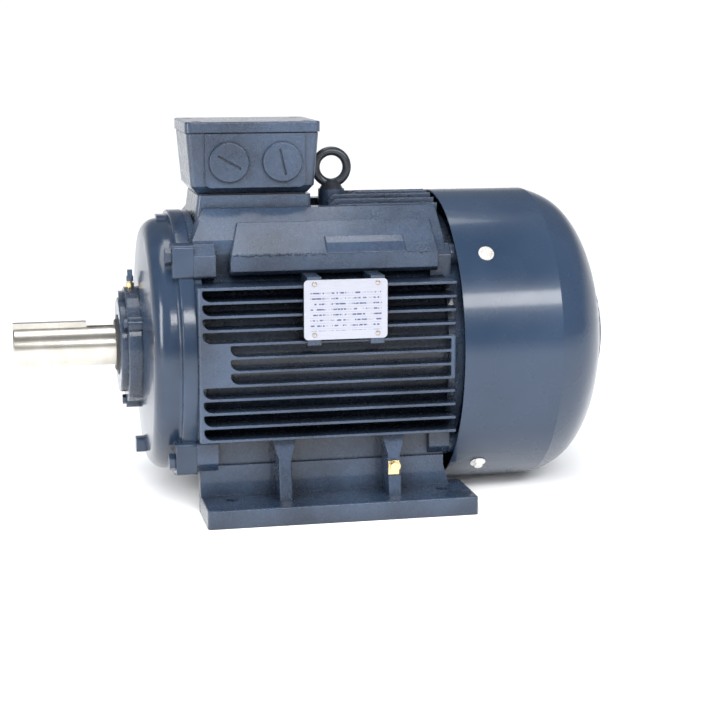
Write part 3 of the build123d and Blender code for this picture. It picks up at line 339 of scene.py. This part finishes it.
# each row: maker, material slot, and what the maker takes after the name
SLOT_TABLE = (
    (cast_paint, "casting_paint", 1.1, CAST_EDGE, 0.27),
    (smooth_paint, "shield_paint", PAINT_DARK, PAINT_LIGHT, 0.22, 1.6, SHIELD_EDGE),
    (smooth_paint, "cover_paint", COVER_DARK, COVER_LIGHT, 0.26, 0.5, SHEET_EDGE),
    (metal, "machined_iron", (0.30, 0.29, 0.28), (0.16, 0.15, 0.14), 0.42, GROUND_MARKS),
    (metal, "ground_steel", (0.70, 0.67, 0.61), (0.52, 0.49, 0.43), 0.30, GROUND_MARKS, 0.3),
    (metal, "bearing_steel", (0.72, 0.72, 0.73), (0.52, 0.52, 0.54), 0.14, GROUND_MARKS),
    (metal, "spring_steel", (0.30, 0.30, 0.31), (0.14, 0.13, 0.12), 0.34),
    (metal, "bearing_brass", (0.72, 0.53, 0.25), (0.48, 0.32, 0.12), 0.30, GROUND_MARKS),
    (metal, "zinc_steel", (0.80, 0.80, 0.78), (0.60, 0.58, 0.52), 0.24, EVEN_MARKS, 1.2, 0.55),
    (metal, "lamination_steel", (0.36, 0.36, 0.38), (0.16, 0.16, 0.17), 0.42, LAMINATIONS, 4.0),
    (metal, "cast_aluminium", (0.68, 0.68, 0.69), (0.42, 0.42, 0.43), 0.38, EVEN_MARKS, 3.0),
    (metal, "brass", (0.88, 0.74, 0.44), (0.62, 0.46, 0.22), 0.24),
    (metal, "rivet_metal", (0.62, 0.56, 0.50), (0.36, 0.28, 0.22), 0.34),
    (plain, "black_steel", (0.012, 0.014, 0.018), (0.020, 0.024, 0.032), 0.28, 90.0, 0.0004),
    (plain, "fan_plastic", (0.030, 0.031, 0.034), (0.045, 0.046, 0.050), 0.46),
    (plain, "seal_rubber", (0.016, 0.016, 0.017), (0.030, 0.030, 0.031), 0.55),
    (plain, "lead_insulation", (0.05, 0.05, 0.055), (0.085, 0.085, 0.09), 0.5),
    (plain, "board_resin", (0.10, 0.065, 0.045), (0.16, 0.11, 0.08), 0.42),
    (plain, "cap_plastic", (0.022, 0.034, 0.058), (0.035, 0.052, 0.085), 0.40),
)
materials = {slot: maker(slot, *values) for maker, slot, *values in SLOT_TABLE}
materials["plate_metal"] = plate_material()
materials["winding_varnish"] = winding_material()
slot_of = {part["node"]: part["material_slot"] for part in frame["record"]["subparts"]}
for name, node in nodes.items():
    node.data.materials.clear()
    node.data.materials.append(materials[slot_of[name]])


# ---- studio -------------------------------------------------------------------------------------
def place_in_scene(name, data):
    thing = bpy.data.objects.new(name, data)
    bpy.context.scene.collection.objects.link(thing)
    return thing


def aim_along(lamp, direction):
    lamp.rotation_euler = Vector(direction).to_track_quat("-Z", "Y").to_euler()


def floor():
    """A wide pale sheet under the feet."""
    mesh = bmesh.new()
    bmesh.ops.create_grid(mesh, x_segments=8, y_segments=8, size=FLOOR_HALF_SIZE)
    data = bpy.data.meshes.new("studio_floor")
    mesh.to_mesh(data)
    sheet = place_in_scene("studio_floor", data)
    sheet.location.z = cad_low.z - FLOOR_DROP
    t = Tree("studio_floor")
    t.set(Base_Color=t.mix(t.noise(0.8), FLOOR_COOL, FLOOR_WARM), Roughness=0.75)
    data.materials.append(t.material)


def room_light(tree):
    """Light from the world: bright behind the motor near the horizon, dim above and in front."""
    coords = tree.nodes.new("ShaderNodeTexCoord")
    split = tree.nodes.new("ShaderNodeSeparateXYZ")
    tree.links.new(coords.outputs["Generated"], split.inputs[0])
    height = tree.nodes.new("ShaderNodeValToRGB")
    tree.links.new(split.outputs["Z"], height.inputs[0])
    stops = ((0.03, HORIZON_GLOW), (0.32, CEILING_GLOW))
    for element, (place, colour) in zip(height.color_ramp.elements, stops):
        element.position = place
        element.color = (*colour, 1.0)
    depth = tree.nodes.new("ShaderNodeMapRange")
    for socket, number in zip(list(depth.inputs)[1:5], (-0.15, 0.25, 0.0, 1.0)):
        socket.default_value = number
    tree.links.new(split.outputs["Y"], depth.inputs[0])
    room = tree.nodes.new("ShaderNodeMix")
    room.data_type = "RGBA"
    room.inputs[6].default_value = (*ROOM_GLOW, 1.0)
    tree.links.new(depth.outputs[0], room.inputs[0])
    tree.links.new(height.outputs[0], room.inputs[7])
    return room.outputs[2]


def backdrop():
    """The room's light for the motor, and plain white where the camera sees past it."""
    world = bpy.data.worlds.new("studio")
    world.use_nodes = True
    tree = world.node_tree
    seen = tree.nodes.new("ShaderNodeMix")
    seen.data_type = "RGBA"
    seen.inputs[7].default_value = (1.0, 1.0, 1.0, 1.0)
    path = tree.nodes.new("ShaderNodeLightPath")
    tree.links.new(path.outputs["Is Camera Ray"], seen.inputs[0])
    tree.links.new(room_light(tree), seen.inputs[6])
    background = tree.nodes["Background"]
    tree.links.new(seen.outputs[2], background.inputs["Color"])
    background.inputs["Strength"].default_value = WORLD_STRENGTH
    bpy.context.scene.world = world


def softbox(name, place, aim, size, power):
    light = bpy.data.lights.new(name, "AREA")
    light.shape = "RECTANGLE"
    light.size, light.size_y = size
    light.energy = power
    lamp = place_in_scene(name, light)
    lamp.location = place
    aim_along(lamp, Vector(aim) - Vector(place))


def room_fill():
    """A wide soft sun from the front, kept out of reflections."""
    fill = bpy.data.lights.new("room_fill", "SUN")
    fill.energy = FILL_STRENGTH
    fill.angle = FILL_SPREAD
    lamp = place_in_scene("room_fill", fill)
    aim_along(lamp, FILL_DIRECTION)
    lamp.visible_glossy = False


def studio():
    floor()
    backdrop()
    bpy.context.scene.view_settings.view_transform = "Standard"
    for box in SOFTBOXES:
        softbox(*box)
    room_fill()


def camera():
    """Long lens, slightly above and to the left of the motor's side."""
    data = bpy.data.cameras.new("camera")
    data.sensor_width = SENSOR_WIDTH
    data.lens = FOCAL_LENGTH
    data.clip_end = VIEW_DISTANCE
    eye = place_in_scene("camera", data)
    eye.location = CAMERA_PLACE
    eye.rotation_euler = Euler((CAMERA_TILT, 0.0, CAMERA_TURN))
    bpy.context.scene.camera = eye


# ---- casting flash ------------------------------------------------------------------------------
def casting_flash(name, start, end, seed):
    """A low, lumpy ridge left by the mould parting, painted over."""
    draw = random.Random(seed)
    start, end = Vector(start), Vector(end)
    count = int((end - start).length / LUMP_SPACING)
    mesh = bmesh.new()
    for index in range(count):
        place = start.lerp(end, (index + draw.uniform(-0.5, 0.5)) / count)
        place += Vector((0.0, draw.uniform(-0.0009, 0.0009), draw.uniform(-0.0014, 0.0010)))
        radius = draw.uniform(0.0008, 0.0021)
        stretch = Matrix.Diagonal((draw.uniform(0.8, 1.9), 1.0, draw.uniform(0.7, 1.2), 1.0))
        bmesh.ops.create_icosphere(mesh, subdivisions=2, radius=radius,
                                   matrix=Matrix.Translation(place) @ stretch)
    data = bpy.data.meshes.new(name)
    mesh.to_mesh(data)
    ridge = place_in_scene(name, data)
    fuse = ridge.modifiers.new("fuse", "REMESH")
    fuse.mode = "VOXEL"
    fuse.voxel_size = FLASH_VOXEL
    fuse.use_smooth_shade = True
    data.materials.append(materials["casting_paint"])
    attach(ridge, "stator")


for side, label in ((-1, "near"), (1, "far")):
    for pad, reach, seed in (("drive", DRIVE_FLASH_X, DRIVE_FLASH_SEED),
                             ("fan", FAN_FLASH_X, FAN_FLASH_SEED)):
        ends = [(x, side * PAD_EDGE_Y, PAD_EDGE_Z) for x in reach]
        casting_flash(f"flash_pad_{pad}_{label}", *ends, seed + side)

studio()
camera()
